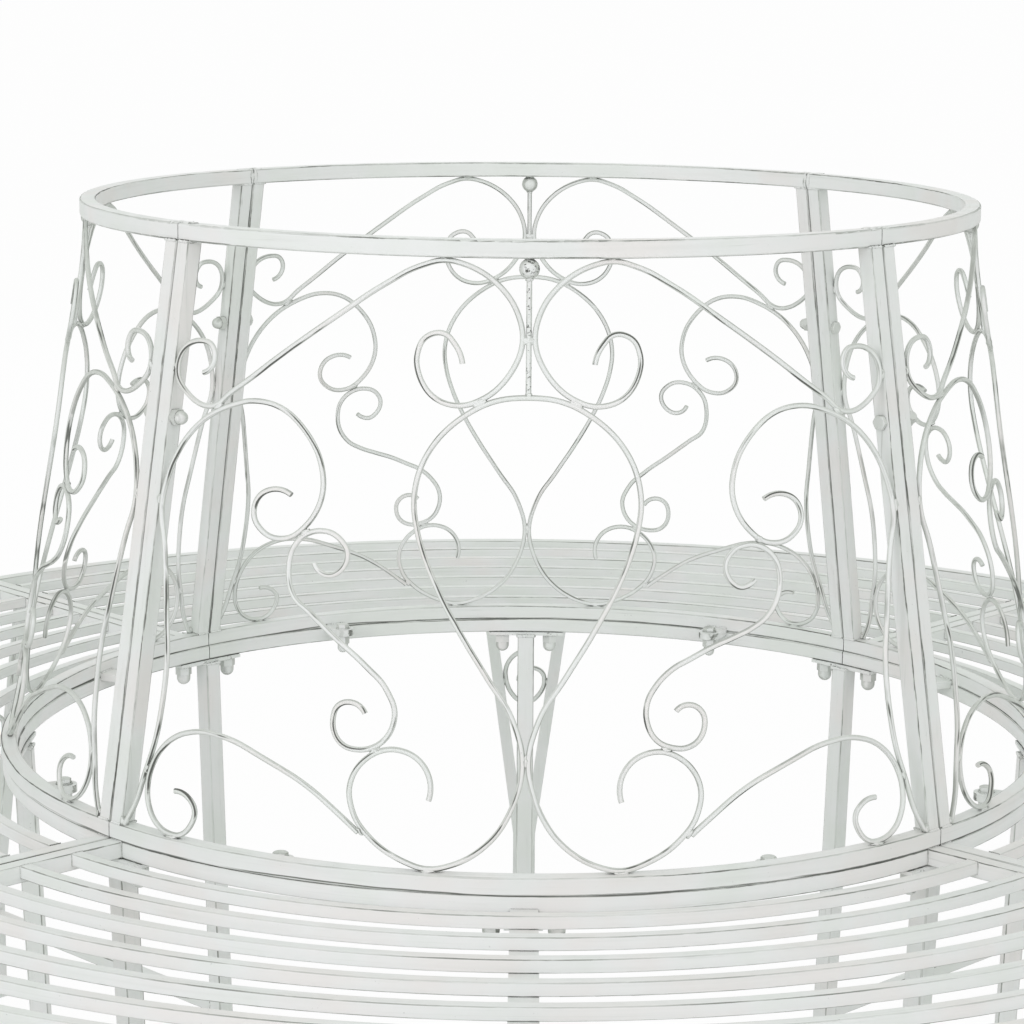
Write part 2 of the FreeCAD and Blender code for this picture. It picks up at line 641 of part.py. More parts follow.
def stud(name, x, y, top):
    """A stud welded under a rail, through the leg's plate and into a cap nut."""
    length = "(plate_depth + leg_nut_height - nut_wall - nut_end_gap)"
    return cylinder(name, "stud_size / 2", length, x, y, "%s - %s" % (top, length))


leg_studs = {kind: [] for kind in SPACING}
leg_nuts = {kind: [] for kind in SPACING}
for kind, spacing in SPACING.items():
    for where, radius, top in (("inner", RAIL_MIDDLE, RAIL_BOTTOM), ("outer", RIM_MIDDLE, RIM_PLATE_TOP)):
        for side in (1, -1):
            name = "%s_%s_%s" % (kind, where, "right" if side > 0 else "left")
            y = "%d * %s / 2" % (side, spacing)
            leg_studs[kind].append(stud(name + "_stud", radius, y, top))
            leg_nut = placed(name + "_nut", wide_nut, DOWN, x=radius, y=y, z="%s - plate_depth" % top)
            leg_nuts[kind].append(leg_nut)


# Every sub-part: its own name, its solids and where it is used

SECTIONS = {"front": -90, "right": 0, "back": 90, "left": 180}
JOINTS = {"front_right": -45, "back_right": 45, "back_left": 135, "front_left": -135}
LEGS = list(SECTIONS.values()) + list(JOINTS.values())
nodes = []


def turned(items, angle, label):
    """The items as one sub-part, turned about the middle of the ring."""
    node = doc.addObject("Part::Compound", label)
    node.Links = list(items)
    node.Placement = FreeCAD.Placement(FreeCAD.Vector(), FreeCAD.Rotation(FreeCAD.Vector(0, 0, 1), angle))
    return node


def at_each(label, places, items):
    """One sub-part for each named place, all built alike."""
    for place, angle in places.items():
        node = turned(items, angle, "%s_%s" % (label, place))
        node.Label = "%s_%s" % (label, place)
        nodes.append(node)


def group(label, *sets):
    """One sub-part that holds the same pieces at many angles; each set gives its angles, then its items."""
    node = doc.addObject("Part::Compound", label)
    uses = [(angle, items) for angles, items in sets for angle in angles]
    node.Links = [turned(items, angle, "%s_at_%d" % (label, number))
                  for number, (angle, items) in enumerate(uses)]
    node.Label = label
    nodes.append(node)


def leg_group(label, kinds):
    """One sub-part with the middle legs' pieces and the joint legs' pieces."""
    group(label, (SECTIONS.values(), kinds["middle"]), (JOINTS.values(), kinds["joint"]))


at_each("back_top_rail", SECTIONS, [back_top_rail])
at_each("back_bottom_rail", SECTIONS, [back_bottom_rail])
at_each("back_posts", JOINTS, back_posts)
at_each("heart_scroll", SECTIONS, [heart])
at_each("upper_scrolls", SECTIONS, upper)
at_each("lower_scrolls", SECTIONS, lower)
group("finial_balls", (SECTIONS.values(), [ball]))
group("finial_stems", (SECTIONS.values(), [stem]))

at_each("seat_inner_rail", SECTIONS, [seat_inner_rail])
at_each("seat_outer_rail", SECTIONS, [seat_outer_rail])
at_each("seat_end_bars", JOINTS, end_bars)
at_each("seat_slats", SECTIONS, seat_slats)
group("seat_ribs", (SECTIONS.values(), [seat_rib]))

group("inner_legs", (LEGS, [inner_leg]))
group("outer_leg_arms", (LEGS, outer_arms))
group("leg_scrolls", (LEGS, [leg_scroll]))
group("leg_stretchers", (LEGS, [stretcher]))
leg_group("inner_leg_plates", {kind: [item] for kind, item in inner_plates.items()})
leg_group("outer_leg_plates", {kind: [item] for kind, item in outer_plates.items()})
group("inner_feet", (LEGS, [inner_foot]))
group("outer_feet", (LEGS, [outer_foot]))

lug_angles = [angle + side * size("lug_angle") for angle in SECTIONS.values() for side in (1, -1)]
group("back_lugs", (lug_angles, [back_lug]))
group("seat_lugs", (lug_angles, [seat_lug]))
group("seat_bolts", (lug_angles, [seat_bolt]))
group("seat_washers", (lug_angles, seat_washers))
group("seat_nuts", (lug_angles, [seat_nut]))
group("post_bolts", (JOINTS.values(), [post_bolt]))
group("post_nuts", (JOINTS.values(), [post_nut]))
leg_group("leg_studs", leg_studs)
leg_group("leg_nuts", leg_nuts)

doc.recompute()
for item in doc.Objects:
    if "Invalid" in item.State or "Error" in item.State:
        raise RuntimeError("failed object: " + item.Label)

os.makedirs("parts", exist_ok=True)
for node in nodes:
    if node.Shape.isNull() or not node.Shape.isValid():
        raise RuntimeError("bad shape: " + node.Label)
    solids = node.Shape.Solids
    shape = solids[0] if len(solids) == 1 else Part.makeCompound(solids)
    shape.exportStep("parts/%s.step" % node.Label)
print("%d sub-parts, %d solids" % (len(nodes), sum(len(node.Shape.Solids) for node in nodes)))
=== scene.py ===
"""Round tree bench in antique white paint, brushed through to grey metal along its edges."""
import math

import bmesh
import bpy
from mathutils import Matrix, Vector, noise


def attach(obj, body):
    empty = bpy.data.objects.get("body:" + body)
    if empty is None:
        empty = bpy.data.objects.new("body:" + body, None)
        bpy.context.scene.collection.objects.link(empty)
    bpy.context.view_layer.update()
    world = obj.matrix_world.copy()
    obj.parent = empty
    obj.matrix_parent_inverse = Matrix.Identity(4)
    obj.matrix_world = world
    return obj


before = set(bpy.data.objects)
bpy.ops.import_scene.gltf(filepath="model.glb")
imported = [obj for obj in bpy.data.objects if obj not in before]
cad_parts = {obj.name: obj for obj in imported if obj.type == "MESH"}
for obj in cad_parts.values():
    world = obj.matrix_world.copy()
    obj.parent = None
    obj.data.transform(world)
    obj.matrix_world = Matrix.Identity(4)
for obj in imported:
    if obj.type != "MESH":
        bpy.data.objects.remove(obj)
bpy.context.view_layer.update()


# The bench's sizes in metres, as in the CAD model.

SEAT_HEIGHT = 0.440
SEAT_RISE = 0.004
SEAT_INNER = 0.432
SEAT_OUTER = 0.792
BACK_HEIGHT = 0.449
BACK_LEAN = 0.072
FOOT_RADIUS = 0.433
TUBE = 0.013
SLAT = 0.0095
SLAT_COUNT = 7
JOINT_GAP = 0.0009
WIRE_DIAMETER = 0.004
WIRE_FLARE = 0.005
BALL = 0.0145
LEG = 0.016
LEG_INSET = 0.004
LEG_LEAN = 0.017
ARM = 0.012
ARM_GAP = 0.0004
ARM_SPREAD = 0.099
ARM_BEND = 0.110
STRETCHER = 0.012
STRETCHER_HEIGHT = 0.081
PLATE = 0.003
FOOT_PLATE = 0.004
RIM_PLATE_WIDTH = 0.024
LUG_ANGLE = math.radians(26)
LUG_WIDTH = 0.020

SECTIONS = [math.radians(angle) for angle in (-90, 0, 90, 180)]
JOINTS = [math.radians(angle) for angle in (-45, 45, 135, -135)]
LEGS = SECTIONS + JOINTS
BACK_TOP = SEAT_HEIGHT + BACK_HEIGHT
LEG_TOP = SEAT_HEIGHT - TUBE - PLATE
ARM_TOP = SEAT_HEIGHT + SEAT_RISE - TUBE - PLATE
RIM_MIDDLE = SEAT_OUTER - TUBE / 2
SEAT_SLOPE = SEAT_RISE / (RIM_MIDDLE - RIM_PLATE_WIDTH / 2 - SEAT_INNER)
CONE_SLOPE = BACK_LEAN / (BACK_HEIGHT - TUBE)
FAR_SIDE = JOINT_GAP / 2 + TUBE  # from a joint's middle to the far side of its post or end bar
UP = Vector((0, 0, 1))


def at(angle, x, y, z):
    """A place given in the frame of a section, joint or leg."""
    return Vector((x * math.cos(angle) - y * math.sin(angle), x * math.sin(angle) + y * math.cos(angle), z))


def cone_radius(level):
    """Radius of the rails' and posts' middles at a level."""
    return FOOT_RADIUS - TUBE / 2 - (level - SEAT_HEIGHT - TUBE / 2) * CONE_SLOPE


# Camera, fitted to the photo. Its turns are in radians.

IMAGE_WIDTH = 1024
FOCAL_PIXELS = 2966.1
SENSOR_WIDTH = 36
CLIP_START, CLIP_END = 0.1, 400
CAMERA_PLACE = Vector((-0.00114, -2.4045, BACK_TOP + 0.2066))
PITCH, YAW, ROLL = 0.19215, -0.00466, 0.00854


def turned(first, second, angle):
    """Two axes, turned in their own plane."""
    cosine, sine = math.cos(angle), math.sin(angle)
    return first * cosine + second * sine, second * cosine - first * sine


ahead = Vector((0, math.cos(PITCH), -math.sin(PITCH)))
right = Vector((1, 0, 0))
up = right.cross(ahead)
ahead, right = turned(ahead, right, YAW)
right, up = turned(right, up, ROLL)

camera = bpy.data.objects.new("camera", bpy.data.cameras.new("camera"))
bpy.context.collection.objects.link(camera)
camera.data.sensor_width = SENSOR_WIDTH
camera.data.lens = FOCAL_PIXELS * SENSOR_WIDTH / IMAGE_WIDTH
camera.data.clip_start = CLIP_START
camera.data.clip_end = CLIP_END
axes = Matrix((right, up, -ahead)).transposed()
camera.matrix_world = Matrix.Translation(CAMERA_PLACE) @ axes.to_4x4()
bpy.context.scene.camera = camera


# Materials.

class Tree:
    """Short names for building a material's nodes."""

    def __init__(self, name):
        self.material = bpy.data.materials.new(name)
        self.material.use_nodes = True
        self.nodes = self.material.node_tree.nodes
        self.links = self.material.node_tree.links
        self.shader = self.nodes["Principled BSDF"]
        self.output = self.nodes["Material Output"]

    def add(self, kind, inputs=(), **settings):
        node = self.nodes.new(kind)
        for key, value in settings.items():
            setattr(node, key, value)
        for key, value in dict(inputs).items():
            self.put(node.inputs[key], value)
        return node

    def put(self, socket, value):
        if isinstance(value, bpy.types.NodeSocket):
            self.links.new(value, socket)
        else:
            socket.default_value = value

    def math(self, operation, *values, clamp=False):
        node = self.add("ShaderNodeMath", dict(enumerate(values)), operation=operation)
        node.use_clamp = clamp
        return node.outputs[0]

    def plus(self, first, second):
        return self.math("ADD", first, second)

    def minus(self, first, second):
        return self.math("SUBTRACT", first, second)

    def over(self, first, second):
        return self.math("DIVIDE", first, second)

    def apart(self, first, second):
        return self.math("ABSOLUTE", self.minus(first, second))

    def length(self, first, second):
        return self.math("SQRT", self.plus(self.times(first, first), self.times(second, second)))

    def times(self, first, *others):
        for value in others:
            first = self.math("MULTIPLY", first, value)
        return first

    def most(self, first, *others):
        for value in others:
            first = self.math("MAXIMUM", first, value)
        return first

    def clamped(self, value, scale):
        """A value times a number, kept between 0 and 1."""
        return self.math("MULTIPLY", value, scale, clamp=True)

    def step(self, value, start, end, low=0.0, high=1.0):
        """Runs smoothly from low, where value is start, to high, where it is end."""
        node = self.add("ShaderNodeMapRange", {0: value, 1: start, 2: end, 3: low, 4: high},
                        interpolation_type="SMOOTHSTEP")
        return node.outputs[0]

    def noise(self, vector, scale, detail=2.0, roughness=0.5):
        node = self.add("ShaderNodeTexNoise",
                        {"Vector": vector, "Scale": scale, "Detail": detail, "Roughness": roughness})
        return node.outputs["Fac"]

    def vector(self, x, y, z):
        return self.add("ShaderNodeCombineXYZ", {0: x, 1: y, 2: z}).outputs[0]

    def mix(self, share, a, b):
        node = self.add("ShaderNodeMix", {0: share}, data_type="RGBA")
        self.put(node.inputs[6], a)
        self.put(node.inputs[7], b)
        return node.outputs[2]


PAINT = (0.80, 0.82, 0.81, 1)
PAINT_WARM = (0.80, 0.79, 0.77, 1)
PAINT_GREEN = (0.765, 0.80, 0.765, 1)
# The three colours below are also used as painted shade: on the wires' sides, in crevices, at the rails'
# joint and under the slats.
PAINT_THIN_AND_SHADE = (0.60, 0.63, 0.59, 1)
PAINT_WORN_AND_SHADE = (0.34, 0.36, 0.33, 1)
METAL_AND_SHADE = (0.105, 0.11, 0.10, 1)

# Sizes of the wear and of the painted shade, in metres. A line is bare nearer to its middle than INSIDE, and
# painted beyond OUTSIDE.
TUBE_EDGE, SLAT_EDGE = 0.0015, 0.0008  # radii that turn a line's width into an angle on the rounded edges
LINE_THIN, LINE_WIDE = 0.00022, 0.00060
TWIN_AWAY, TWIN_OUTSIDE, TWIN_INSIDE = 0.0009, 0.0004, 0.0001
# the painted shade of the rails' joint: its level, wander, width and fade
SEAM_LEVEL, SEAM_WANDER = SEAT_HEIGHT + 0.0006, 0.007
SEAM_OUTSIDE, SEAM_INSIDE = 0.0009, 0.0003
SEAM_FADE_START, SEAM_FADE_END = 0.45, 0.47
# how far the painted shade in the crevices reaches
CREVICE_SHADE_REACH, FASTENER_CREVICE_SHADE_REACH = 0.0022, 0.0045
BUMP_HEIGHT = 0.0004
BACK_Y, FRONT_Y = 0.1, -0.3  # wires and balls are worn more towards the front section


class Paint(Tree):
    """Antique paint. run says how the bar lies: "ring", "radial", "upright", "wire" or "lump"."""

    def __init__(self, name, run, edge):
        super().__init__(name)
        self.run = run
        self.edge = edge
        self.place = self.add("ShaderNodeTexCoord").outputs["Object"]
        self.x, self.y, self.z = self.add("ShaderNodeSeparateXYZ", {0: self.place}).outputs
        self.radius = self.length(self.x, self.y)
        self.around = self.times(self.math("ARCTAN2", self.y, self.x), 0.5)
        normal = self.add("ShaderNodeNewGeometry").outputs["Normal"]
        self.nx, self.ny, self.nz = self.add("ShaderNodeSeparateXYZ", {0: normal}).outputs
        self.outward = self.over(self.plus(self.times(self.nx, self.x), self.times(self.ny, self.y)),
                                 self.radius)
        self.sideways = self.over(self.minus(self.times(self.ny, self.x), self.times(self.nx, self.y)),
                                  self.radius)
        self.mottle = self.noise(self.place, 70.0, 4.0, 0.65)
        self.grain = self.noise(self.place, 480.0, 3.0, 0.6)

    def drawn_noise(self, fine, coarse, detail=2.0, roughness=0.5, shift=0.0):
        """Noise that is fine across the bar and coarse along it."""
        spread = {"ring": (coarse, fine, fine), "radial": (fine, coarse, fine),
                  "upright": (fine, fine, coarse)}[self.run]
        place = self.vector(self.plus(self.times(self.around, spread[0]), shift),
                            self.times(self.radius, spread[1]), self.times(self.z, spread[2]))
        return self.noise(place, 1.0, detail, roughness)

    def worn_and_shaded_wire(self):
        """Where a wire or lump is bare, and where painted shade greys its sides.

        A bare line lies along one side, which turns slowly from place to place. It comes and goes, and is
        darkest at the front. A fainter line lies opposite.
        """
        flank = self.length(self.nz, self.sideways)
        lean = self.times(self.noise(self.place, 6.0, 1.0, 0.4), 20.0)
        chosen = self.plus(self.times(self.nz, self.math("COSINE", lean)),
                           self.times(self.sideways, self.math("SINE", lean)))
        drift = self.noise(self.place, 19.0)
        away = self.apart(flank, self.step(drift, 0.3, 0.7, 0.42, 0.86))
        stretch = self.noise(self.place, 15.0, 3.0, 0.6)
        line = self.step(self.minus(away, self.step(stretch, 0.40, 0.66, 0.0, 0.12)), 0.20, 0.06)
        dark = self.times(self.step(stretch, 0.50, 0.58), self.step(self.y, BACK_Y, FRONT_Y, 0.15, 0.45))
        depth = self.plus(self.step(stretch, 0.38, 0.56, 0.16, 0.50), dark)
        line = self.times(line, self.step(chosen, -0.10, 0.20), depth)
        opposite = self.times(self.step(flank, 0.50, 0.85), self.step(chosen, 0.05, -0.25))
        opposite = self.times(opposite, self.step(drift, 0.46, 0.60), 0.40)
        # painted shade on the sides that face neither front nor back, broken up by mottle
        thin_paint_and_shade = self.times(self.step(self.length(self.nz, self.nx), 0.42, 0.90),
                          self.step(self.mottle, 0.30, 0.60, 0.60, 0.95))
        return self.most(line, opposite), thin_paint_and_shade

    def worn_and_shaded_bar(self, streak, stroke):
        """Where a bar is bare, with painted shade added at the rails' joint and under the slats, and where
        its paint is thin.

        A bare line wanders over each rounded edge, and a fainter twin comes and goes beside it. bend is the
        angle that the edge has turned through, so the bar's flat faces stay clear of both.
        """
        facing = self.nz if self.run == "ring" else self.sideways
        across = self.math("SQRT", self.math("SUBTRACT", 1.0, self.times(facing, facing), clamp=True))
        bend = self.math("ARCTAN2", self.math("ABSOLUTE", facing), across)
        rounded = self.times(self.step(bend, 0.04, 0.20), self.step(bend, 1.53, 1.37))
        wander = self.drawn_noise(60.0, 7.0)
        ragged = self.drawn_noise(500.0, 60.0, 3.0, 0.6)
        stretch = self.drawn_noise(75.0, 5.0, 3.0, 0.6, 3.1)
        second = self.drawn_noise(90.0, 6.0, shift=7.7)

        away = self.apart(bend, self.step(wander, 0.25, 0.75, 0.35, 1.22))
        breadth = self.step(self.plus(ragged, self.times(wander, 0.5)), 0.5, 1.0,
                            LINE_THIN / self.edge, LINE_WIDE / self.edge)
        line = self.times(self.step(self.over(away, breadth), 1.6, 0.7), rounded)
        line = self.times(line, self.step(stretch, 0.38, 0.66, 0.16, 1.0),
                          self.step(ragged, 0.25, 0.55, 0.55, 1.0))
        twin = self.step(self.apart(away, TWIN_AWAY / self.edge),
                         TWIN_OUTSIDE / self.edge, TWIN_INSIDE / self.edge)
        twin = self.times(twin, self.step(second, 0.52, 0.66), rounded, 0.45)
        scratch = self.times(self.step(streak, 0.66, 0.74), self.step(stroke, 0.50, 0.66), 0.22)
        bare_and_shade = self.most(line, twin, scratch)
        if self.run == "ring":
            bare_and_shade = self.most(bare_and_shade, self.rail_joint_shade(wander, second))
        if self.edge == SLAT_EDGE:
            bare_and_shade = self.most(bare_and_shade, self.slat_underside_shade())
        return bare_and_shade, self.step(self.apart(bend, math.pi / 4), 0.75, 0.35, 0.0, 0.30)

    def rail_joint_shade(self, wander, second):
        """Painted shade: a ragged dark line where the back's bottom rail sits on the seat's inner rail."""
        level = self.plus(self.times(self.minus(wander, 0.5), SEAM_WANDER), SEAM_LEVEL)
        seam = self.step(self.apart(self.z, level), SEAM_OUTSIDE, SEAM_INSIDE)
        return self.times(seam, self.step(second, 0.40, 0.54),
                          self.step(self.radius, SEAM_FADE_END, SEAM_FADE_START), 0.75)

    def slat_underside_shade(self):
        """Painted shade on the slats' lower edges, on the side towards the trunk."""
        return self.times(self.step(self.nz, -0.05, -0.35), self.step(self.outward, -0.05, -0.35), 0.75)

    def painted_crevice_shade(self, stroke, crevice_shade):
        """Painted shade in the crevices where pieces meet, broken into patches."""
        reach = FASTENER_CREVICE_SHADE_REACH if self.run == "lump" else CREVICE_SHADE_REACH
        close = self.add("ShaderNodeAmbientOcclusion", {"Distance": reach}, samples=6).outputs["AO"]
        patches = self.step(self.plus(self.mottle, self.times(stroke, 0.6)), 0.62, 0.98, 0.25, 1.0)
        return self.clamped(self.times(self.step(close, 0.70, 0.42), patches), crevice_shade)

    def specks(self, fleck):
        """Black specks, a few where fleck is 0. Where it is over 1 they are strong, and only at the front."""
        least = 1.04 - 0.12 * fleck
        speck = self.step(self.plus(self.grain, self.times(self.mottle, 0.6)), least, least + 0.08)
        speck = self.times(speck, 0.30 + 0.45 * fleck)
        if fleck > 1:
            speck = self.times(speck, self.step(self.y, BACK_Y, FRONT_Y, 0.06, 1.0))
        return speck


def paint(name, run, edge=TUBE_EDGE, wear_and_shade=1.0, fleck=0.0, crevice_shade=1.0):
    """The bench's paint on one kind of bar, more or less worn and flecked, with more or less painted shade in
    its crevices.
    """
    tree = Paint(name, run, edge)
    if run in ("wire", "lump"):
        streak = tree.noise(tree.place, 60.0)
        stroke = tree.noise(tree.place, 26.0)
        bare_and_shade, thin_paint_and_shade = tree.worn_and_shaded_wire()
        grain_height = 0.08
    else:
        streak = tree.drawn_noise(430.0, 11.0, 3.0, 0.6)
        stroke = tree.drawn_noise(150.0, 6.0)
        bare_and_shade, thin_paint_and_shade = tree.worn_and_shaded_bar(streak, stroke)
        grain_height = 0.2
    bare_and_shade = tree.clamped(bare_and_shade, wear_and_shade)
    patch = tree.noise(tree.place, 5.0, 3.0, 0.6)
    tint = tree.minus(tree.noise(tree.place, 14.0), tree.times(tree.y, 0.10))

    colour = tree.mix(tree.step(tint, 0.45, 0.70), PAINT, PAINT_WARM)
    colour = tree.mix(tree.step(tint, 0.55, 0.30), colour, PAINT_GREEN)
    colour = tree.mix(tree.step(patch, 0.45, 0.85, 0.0, 0.22), colour, PAINT_THIN_AND_SHADE)
    colour = tree.mix(tree.step(stroke, 0.50, 0.80, 0.0, 0.22), colour, PAINT_THIN_AND_SHADE)
    colour = tree.mix(tree.step(streak, 0.56, 0.80, 0.0, 0.26), colour, PAINT_THIN_AND_SHADE)
    # thin paint on the bars' edges, and painted shade on the wires' and lumps' sides
    colour = tree.mix(thin_paint_and_shade, colour, PAINT_THIN_AND_SHADE)
    # wear, with painted shade at the rails' joint and under the slats
    colour = tree.mix(tree.clamped(bare_and_shade, 1.6), colour, PAINT_WORN_AND_SHADE)
    # bare metal, painted shade and black specks all darken towards the metal colour
    black = tree.most(tree.step(bare_and_shade, 0.35, 1.0, 0.0, 0.95), tree.painted_crevice_shade(stroke, crevice_shade), tree.specks(fleck))
    tree.put(tree.shader.inputs["Base Color"], tree.mix(black, colour, METAL_AND_SHADE))
    tree.put(tree.shader.inputs["Roughness"], tree.step(tree.mottle, 0.3, 0.7, 0.40, 0.58))
    tree.put(tree.shader.inputs["Specular IOR Level"], 0.35)

    height = tree.plus(tree.times(streak, 0.5), tree.times(tree.grain, grain_height))
    height = tree.minus(height, tree.times(bare_and_shade, 0.5))
    bump = tree.add("ShaderNodeBump", {"Strength": 0.25, "Distance": BUMP_HEIGHT, "Height": height})
    tree.put(tree.shader.inputs["Normal"], bump.outputs[0])
    return tree.material


RING = paint("paint_ring", "ring", crevice_shade=0.9)
SLATS = paint("paint_slats", "ring", edge=SLAT_EDGE, wear_and_shade=0.65, crevice_shade=0.7)
RADIAL = paint("paint_radial", "radial", crevice_shade=0.8)
UPRIGHT = paint("paint_upright", "upright", wear_and_shade=0.85, crevice_shade=0.45)
WIRE = paint("paint_wire", "wire", crevice_shade=0.7)
FASTENER = paint("paint_fastener", "lump", wear_and_shade=0.7, fleck=0.5, crevice_shade=1.5)
SPECKLED = paint("paint_speckled", "lump", wear_and_shade=0.9, fleck=1.6)
STEM = paint("paint_stem", "wire", wear_and_shade=1.3, fleck=1.35, crevice_shade=0.7)
PLATES = paint("paint_plate", "radial", wear_and_shade=1.2, fleck=0.9, crevice_shade=1.7)

FINISH = [
    (("back_top_rail", "back_bottom_rail", "seat_inner_rail", "seat_outer_rail"), RING),
    (("seat_slats",), SLATS),
    (("seat_end_bars", "seat_ribs", "leg_stretchers", "back_lugs", "seat_lugs", "outer_leg_plates",
      "inner_feet", "outer_feet"), RADIAL),
    (("back_posts", "inner_legs", "outer_leg_arms"), UPRIGHT),
    (("heart_scroll", "upper_scrolls", "lower_scrolls", "leg_scrolls"), WIRE),
    (("inner_leg_plates",), PLATES),
    (("finial_balls",), SPECKLED),
    (("finial_stems",), STEM),
    (("seat_bolts", "seat_washers", "seat_nuts", "post_bolts", "post_nuts", "leg_studs", "leg_nuts"),
     FASTENER),
]
for name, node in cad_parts.items():
    for prefixes, material in FINISH:
        if name.startswith(prefixes):
            node.data.materials.clear()
            node.data.materials.append(material)


# Welds, in metres.

WELD_STEP = 0.0009
WELD_SIDES = 6
RIPPLE, RIPPLE_TURN = 0.16, 1.9
SEAM_LUMP, SEAM_LUMP_SCALE = 0.5, 400
END_TAPER = 0.35
BEAD_LUMPS = ((0.38, 1.4), (0.16, 3.6))
BEAD_SHIFT = (7.31, 2.17, 0.53)

# Radii of the seams. A lug's seam bows a little, because a seam's corners have to span a plane.
PLATE_SEAM = 0.0013
LUG_SEAM, LUG_SEAM_BOW = 0.0011, 0.001
POST_SEAM = 0.0010
BAR_SEAM = 0.0007
SLAT_SEAM = 0.0006

# Radii of the beads along, across and outward, and how far they lie from the places that they are set by.
SCROLL_BEAD_DEPTH = 0.0024
BALL_BEAD, STEM_BEAD, BALL_BEAD_FLATNESS = 0.0034, 0.0028, 0.6
LEG_BEAD, LEG_BEAD_DROP = (0.0040, 0.0024, 0.0026), 0.147
TOP_BEAD, TOP_BEAD_SIDE, TOP_BEAD_DROP = (0.0075, 0.0058, 0.0014), 0.0062, 0.0006
INSIDE_BEAD, INSIDE_BEAD_SIDE, INSIDE_BEAD_DEPTH = (0.0062, 0.0022, 0.0013), 0.0018, 0.0004

# The scrollwork's beads: millimetres from the section's middle and above the bottom rail, the bead's half
# width and half length, and how its length leans from the level, in degrees. The drawing is DRAWN_HEIGHT high
# and twice DRAWN_FOOT and DRAWN_TOP wide, as in the CAD model.
DRAWN_HEIGHT, DRAWN_FOOT, DRAWN_TOP = 424.7, 322.5, 268.2
PAIRED_WELDS = [(58.8, 426.6, 2.3, 4.6, 0), (33.8, 325.9, 2.8, 5.0, -27),
                (238, 312, 2.2, 5.0, -29), (281.3, 334.6, 2.4, 4.2, 90), (293.8, 239, 2.4, 4.6, 90),
                (323.5, 0.5, 2.8, 4.0, 60), (299.5, 43, 2.2, 4.0, -69), (118, 23.5, 2.4, 3.6, 50),
                (69, -1.8, 2.3, 6.0, 0), (274, -1.8, 2.3, 5.6, 0)]
SINGLE_WELDS = [(-107.5, 81, 2.3, 4.2, 20), (101, 83.5, 2.3, 4.2, -10), (-162.5, 229, 2.3, 4.2, 34),
                (170, 227, 2.3, 4.2, -34), (0, 77, 2.3, 4.6, 90), (0, 332, 2.4, 3.2, 90),
                (0, 369.5, 2.8, 5.6, 0)]


def weld_seam(mesh, corners, radius, closed, seed):
    """A rippled run of weld along straight lines that lie in one plane."""
    legs = len(corners) if closed else len(corners) - 1
    points = []
    for number in range(legs):
        start, end = corners[number], corners[(number + 1) % len(corners)]
        steps = max(2, round((end - start).length / WELD_STEP))
        points += [start.lerp(end, step / steps) for step in range(steps)]
    if not closed:
        points.append(corners[-1])
    flat = (corners[1] - corners[0]).cross(corners[2] - corners[1]).normalized()
    last = len(points) - 1
    rings = []
    for number, place in enumerate(points):
        before = points[number - 1] if closed or number > 0 else place
        after = points[(number + 1) % len(points)] if closed or number < last else place
        other = (after - before).normalized().cross(flat)
        lump = noise.noise(place * SEAM_LUMP_SCALE + Vector((seed, 0, 0)))
        size = radius * (1 + RIPPLE * math.sin(number * RIPPLE_TURN) + SEAM_LUMP * lump)
        if not closed and number in (0, last):
            size *= END_TAPER
        rings.append([mesh.verts.new(place + (flat * math.cos(turn) + other * math.sin(turn)) * size)
                      for turn in (math.tau * side / WELD_SIDES for side in range(WELD_SIDES))])
    for number in range(len(rings) if closed else last):
        near, far = rings[number], rings[(number + 1) % len(rings)]
        for side in range(WELD_SIDES):
            beside = (side + 1) % WELD_SIDES
            mesh.faces.new((near[side], near[beside], far[beside], far[side]))
    if not closed:
        mesh.faces.new(rings[0][::-1])
        mesh.faces.new(rings[-1])


def weld_bead(mesh, place, along, outward, radii, seed):
    """A lumpy bead of weld: its radii are along, across and outward."""
    along = (along - outward * along.dot(outward)).normalized()
    turn = Matrix((along, outward.cross(along), outward)).transposed()
    shift = Vector([seed * value for value in BEAD_SHIFT])
    for vert in bmesh.ops.create_icosphere(mesh, subdivisions=3, radius=1.0)["verts"]:
        lump = sum((depth * noise.noise(vert.co * scale + shift) for depth, scale in BEAD_LUMPS), 1)
        shape = Vector(value * size for value, size in zip(vert.co, radii))
        vert.co = place + turn @ (shape * lump)


def weld_object(name, material, mesh):
    """Makes a piece of the welds that a mesh holds."""
    data = bpy.data.meshes.new(name)
    bmesh.ops.recalc_face_normals(mesh, faces=mesh.faces)
    mesh.to_mesh(data)
    mesh.free()
    data.polygons.foreach_set("use_smooth", [True] * len(data.polygons))
    piece = bpy.data.objects.new(name, data)
    bpy.context.collection.objects.link(piece)
    data.materials.append(material)
    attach(piece, "root")


def on_back(across, rise, section):
    """A place on the scrollwork's surface."""
    share = rise / DRAWN_HEIGHT
    level = SEAT_HEIGHT + TUBE + WIRE_DIAMETER / 2 + share * (BACK_HEIGHT - 2 * TUBE - WIRE_DIAMETER)
    room = DRAWN_FOOT + share * (DRAWN_TOP - DRAWN_FOOT)
    end = cone_radius(level) + WIRE_FLARE
    turn = section + across / room * (math.pi / 4 - (FAR_SIDE + WIRE_DIAMETER / 2) / end)
    radius = cone_radius(level) + WIRE_FLARE * (across / room) ** 2
    return Vector((radius * math.cos(turn), radius * math.sin(turn), level))


